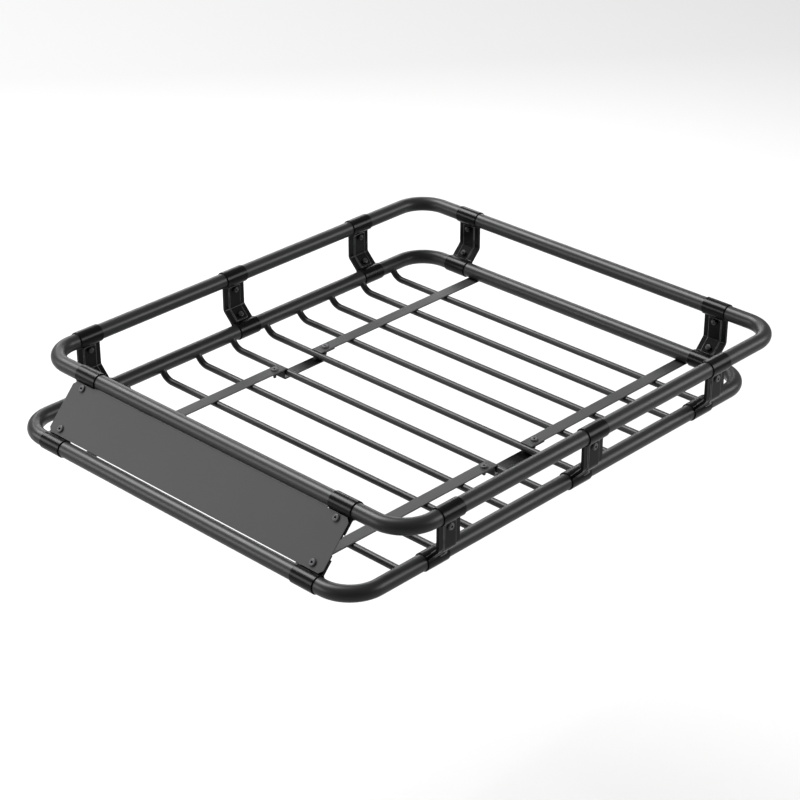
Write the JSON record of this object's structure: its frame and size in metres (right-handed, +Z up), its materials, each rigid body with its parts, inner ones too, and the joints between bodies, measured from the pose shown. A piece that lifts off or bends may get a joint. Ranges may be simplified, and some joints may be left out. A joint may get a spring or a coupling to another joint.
{
  "type": "roof cargo basket",
  "caption": "Low rectangular roof basket of two rounded tube rings, bent floor bars, floor strips, clamp brackets and a slanted front fairing plate.",
  "frame": {"origin": "under the middle of the basket, level with its lowest face, the underside of the joiner plates", "axes": "+X to the right side of the vehicle, +Y to the rear, +Z up; the slanted fairing faces -Y"},
  "size_m": [0.9216, 1.1006, 0.1478],
  "materials": {
    "rail_black": "satin powder coat",
    "bar_black": "satin powder coat",
    "strip_black": "satin powder coat",
    "bracket_black": "semi-gloss black coat",
    "fairing_black": "matt powder coat",
    "fastener_black": "black zinc"
  },
  "bodies": {
    "root": {"base_rail_front": "rail_black", "base_rail_rear": "rail_black", "bracket_front_left_inner": "bracket_black", "bracket_front_left_outer": "bracket_black", "bracket_front_right_inner": "bracket_black", "bracket_front_right_outer": "bracket_black", "bracket_left_front_inner": "bracket_black", "bracket_left_front_outer": "bracket_black", "bracket_left_middle_inner": "bracket_black", "bracket_left_middle_outer": "bracket_black", "bracket_left_rear_inner": "bracket_black", "bracket_left_rear_outer": "bracket_black", "bracket_nuts": "fastener_black", "bracket_rear_left_inner": "bracket_black", "bracket_rear_left_outer": "bracket_black", "bracket_rear_right_inner": "bracket_black", "bracket_rear_right_outer": "bracket_black", "bracket_right_front_inner": "bracket_black", "bracket_right_front_outer": "bracket_black", "bracket_right_middle_inner": "bracket_black", "bracket_right_middle_outer": "bracket_black", "bracket_right_rear_inner": "bracket_black", "bracket_right_rear_outer": "bracket_black", "bracket_screws": "fastener_black", "fairing": "fairing_black", "fairing_nuts": "fastener_black", "fairing_screws": "fastener_black", "floor_bar_01": "bar_black", "floor_bar_02": "bar_black", "floor_bar_03": "bar_black", "floor_bar_04": "bar_black", "floor_bar_05": "bar_black", "floor_bar_06": "bar_black", "floor_bar_07": "bar_black", "floor_bar_08": "bar_black", "floor_bar_09": "bar_black", "floor_bar_10": "bar_black", "joiner_left": "strip_black", "joiner_nuts": "fastener_black", "joiner_right": "strip_black", "joiner_screws": "fastener_black", "strip_front_left": "strip_black", "strip_front_right": "strip_black", "strip_rear_left": "strip_black", "strip_rear_right": "strip_black", "top_rail_front": "rail_black", "top_rail_rear": "rail_black"}
  },
  "joints": []
}
